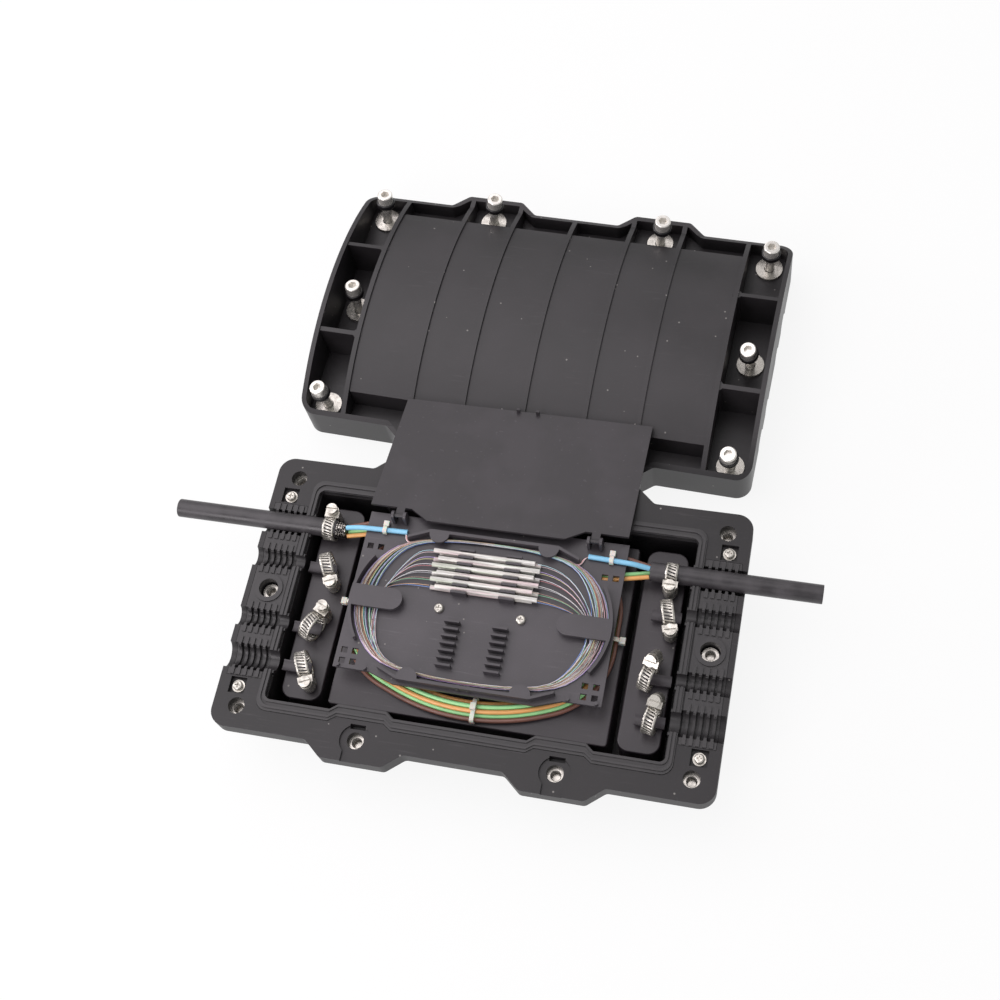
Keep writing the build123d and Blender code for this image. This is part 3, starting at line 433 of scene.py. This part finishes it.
round_turns = [math.radians(15.0 + 30.0 * step) for step in range(12)]
for index in range(12):
    height = fibre_low + 0.0002 * ((index * 7) % 12)
    points = lap(round_turns, loose_reach(0.0400, 0.0019, (index * 5) % 12), height)
    fibre(f"fibre_spare_{index + 1}", points, fibre_finishes[(index * 5) % 12], True)
for index in range(12):
    row, layer = divmod(index, 2)
    y = comb_first_y + (row + 0.5) * comb_pitch
    z = sleeve_low_z + layer * sleeve_layer
    height = fibre_low + 0.0002 * ((index * 3) % 12)
    points = [(0.0265, y, z), (0.034, y, z), (0.0455 + 0.0005 * row, y * 0.86 + 0.0005, height)]
    points += [(0.0585 + 0.0004 * index, 0.0065 + 0.0006 * row, height)]
    points += lap(round_turns, loose_reach(0.0362, 0.0026, (index * 7) % 12), height)
    points += lap([math.radians(372.0)] + round_turns[1:5], 0.0355 + 0.0006 * ((index * 5) % 12), height)
    points += [(-0.0655 + 0.0004 * index, -0.006, height)]
    points += [(-0.0630 + 0.0003 * index, 0.0085 + 0.0003 * row, height)]
    points += [(-0.050 + 0.0004 * row, y * 0.80 + 0.0025, height)]
    points += [(-0.041, y, z), (-0.0345, y, z), (-0.0335, y, z)]
    fibre(f"fibre_spliced_{index + 1}", points, fibre_finishes[index], False)
tube_fibres = (3, 10, 6, 5)
for side, tube_end in ((-1, "left"), (1, "right")):
    for index, colour_place in enumerate(tube_fibres):
        spread = 0.0003 * index
        wall_end = side * 0.0510 - 0.0015
        round_end = wall_end + side * (0.0014 + spread)
        points = [(side * 0.0555, 0.0446 + spread, 0.0525), (round_end, 0.0436, 0.0523)]
        points += [(round_end, 0.0402, 0.0521), (wall_end - side * 0.0010, 0.0386 - spread, 0.0521)]
        points += [(wall_end - side * 0.0070, 0.0402 - spread, 0.0524)]
        points += [(wall_end - side * 0.0150, 0.0432 - spread, 0.0526)]
        points += [(side * 0.0200, 0.0440 - spread, 0.0528), (0.0, 0.0441 - spread, 0.0526)]
        name = f"fibre_feed_{tube_end}_{index + 1}"
        fibre(name, points, fibre_finishes[colour_place], False)
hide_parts("fibre_loops")


# Hose clamps.
# Stainless bands with slanted slots, each under a folded housing that holds its worm screw.
# Two are tight on the cables, six stand loose on the brackets round the saddle bars.

band_wide = 0.007
band_thick = 0.0007
slot_pitch = 0.0019
slot_slant = 0.28

# Each row gives the ring's middle in x, y and z, its inner radius, how far its sides are
# drawn out in height, and its turn on the bracket in degrees.
clamp_places = (
    (-0.1026, 0.043, 0.045525, 0.00575, 0.00265, 0.0),
    (-0.0980, 0.019, 0.0458, 0.0078, 0.0, 24.0),
    (-0.0984, -0.019, 0.0458, 0.0078, 0.0, -24.0),
    (-0.0972, -0.043, 0.0458, 0.0078, 0.0, 24.0),
    (0.1022, 0.043, 0.045525, 0.00575, 0.00265, 0.0),
    (0.1034, 0.019, 0.0458, 0.0078, 0.0, 15.0),
    (0.0980, -0.019, 0.0458, 0.0078, 0.0, -14.0),
    (0.1036, -0.043, 0.0458, 0.0078, 0.0, -10.0),
)


def rolled(along, radius, stretch):
    """Place across a band's ring, round or drawn out in height, by the length along it."""
    half = math.pi * radius
    side = 1 if along < half + stretch else -1
    rest = along if side > 0 else along - half - stretch
    turn = min(rest / radius, math.pi)
    rise = max(rest - half, 0.0)
    y = radius * math.cos(turn) * side
    z = (radius * math.sin(turn) + stretch / 2 - rise) * side
    return y, z


def band_piece(number, row):
    x, y, z, radius, stretch, turn = row
    middle = radius + band_thick / 2
    length = 2 * math.pi * middle + 2 * stretch
    slots = round(length / slot_pitch)
    build = bmesh.new()
    bmesh.ops.create_grid(build, x_segments=2 * slots, y_segments=3, size=0.5)
    holes = []
    for face in build.faces:
        middle_place = face.calc_center_median()
        if abs(middle_place.y) < 0.1 and int((middle_place.x + 0.5) * 2 * slots) % 2:
            holes.append(face)
    bmesh.ops.delete(build, geom=holes, context="FACES_ONLY")
    for vert in build.verts:
        across = vert.co.y * band_wide
        if abs(vert.co.y) < 0.4:
            across *= 1.95
        along = (vert.co.x + 0.5) * length + slot_slant * across
        ring_y, ring_z = rolled(along % length, middle, stretch)
        vert.co = (across, ring_y, ring_z)
    bmesh.ops.remove_doubles(build, verts=build.verts, dist=0.00002)
    bmesh.ops.recalc_face_normals(build, faces=build.faces)
    mesh = bpy.data.meshes.new(f"clamp_band_{number}")
    build.to_mesh(mesh)
    build.free()
    mesh.transform(Matrix.Translation((x, y, z)) @ Matrix.Rotation(math.radians(turn), 4, "Z"))
    mesh.materials.append(stainless.material)
    mesh.shade_smooth()
    band = bpy.data.objects.new(f"clamp_band_{number}", mesh)
    bpy.context.scene.collection.objects.link(band)
    thick = band.modifiers.new("thick", "SOLIDIFY")
    thick.thickness = band_thick
    thick.offset = 0.0
    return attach(band, "base")


bands = [band_piece(number, row) for number, row in enumerate(clamp_places, 1)]
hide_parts("clamp_bands")


# Floor and light.
# A plain white table in a soft white room. A large lamp hangs over the back left, and
# three smaller ones stand behind, in front and at the left.

floor_mesh = bpy.data.meshes.new("floor")
build = bmesh.new()
bmesh.ops.create_grid(build, x_segments=1, y_segments=1, size=6.0)
build.to_mesh(floor_mesh)
build.free()
floor = bpy.data.objects.new("floor", floor_mesh)
bpy.context.scene.collection.objects.link(floor)
table = Finish("table_white", (0.86, 0.86, 0.86), 0.9)
rays = table.node("ShaderNodeLightPath", out="Is Camera Ray")
gloss_rays = table.node("ShaderNodeLightPath", out="Is Glossy Ray")
through_rays = table.node("ShaderNodeLightPath", out="Is Transmission Ray")
glow = table.node("ShaderNodeEmission", None, {"Color": (1.0, 1.0, 1.0, 1.0), "Strength": 1.0})
straight_rays = rays + gloss_rays + through_rays
seen = straight_rays.maths("MINIMUM", straight_rays, 1.0)
matte = Wire(table, table.shader.outputs[0])
shown = table.node("ShaderNodeMixShader", None, {0: seen * 0.88, 1: matte, 2: glow})
table.tree.links.new(shown.socket, table.tree.nodes["Material Output"].inputs["Surface"])
floor_mesh.materials.append(table.material)


class Room(Finish):
    """The world's node tree, with the same way to add a node."""

    def __init__(self, world):
        world.use_nodes = True
        self.tree = world.node_tree


world = bpy.data.worlds.new("room")
bpy.context.scene.world = world
room = Room(world)
white = (1.0, 1.0, 1.0, 1.0)
lit = room.node("ShaderNodeBackground", None, {"Color": white, "Strength": 0.48})
backdrop = room.node("ShaderNodeBackground", None, {"Color": white, "Strength": 1.0})
seen_rays = room.node("ShaderNodeLightPath", out="Is Camera Ray")
clear_rays = room.node("ShaderNodeLightPath", out="Is Transmission Ray")
either = seen_rays.maths("MAXIMUM", seen_rays, clear_rays)
choose = room.node("ShaderNodeMixShader", None, {0: either, 1: lit, 2: backdrop})
room.tree.links.new(choose.socket, room.tree.nodes["World Output"].inputs["Surface"])


lamp_colour = (1.0, 0.95, 0.98)


def soft_lamp(name, place, target, size, watts):
    data = bpy.data.lights.new(name, "AREA")
    data.shape = "DISK"
    data.size = size
    data.energy = watts
    data.color = lamp_colour
    lamp = bpy.data.objects.new(name, data)
    bpy.context.scene.collection.objects.link(lamp)
    lamp.location = place
    lamp.rotation_euler = (Vector(target) - Vector(place)).to_track_quat("-Z", "Y").to_euler()


soft_lamp("key", (-0.75, 0.28, 1.70), (0.0, 0.08, 0.0), 2.1, 18.0)
soft_lamp("back", (-0.35, 1.5, 1.15), (0.0, 0.1, 0.0), 1.2, 3.6)
soft_lamp("front", (-0.6, -1.3, 0.9), (0.0, 0.08, 0.0), 0.9, 10.0)
soft_lamp("left", (-1.4, 0.1, 0.5), (0.0, 0.08, 0.0), 0.6, 8.0)

bpy.context.scene.view_settings.view_transform = "Standard"
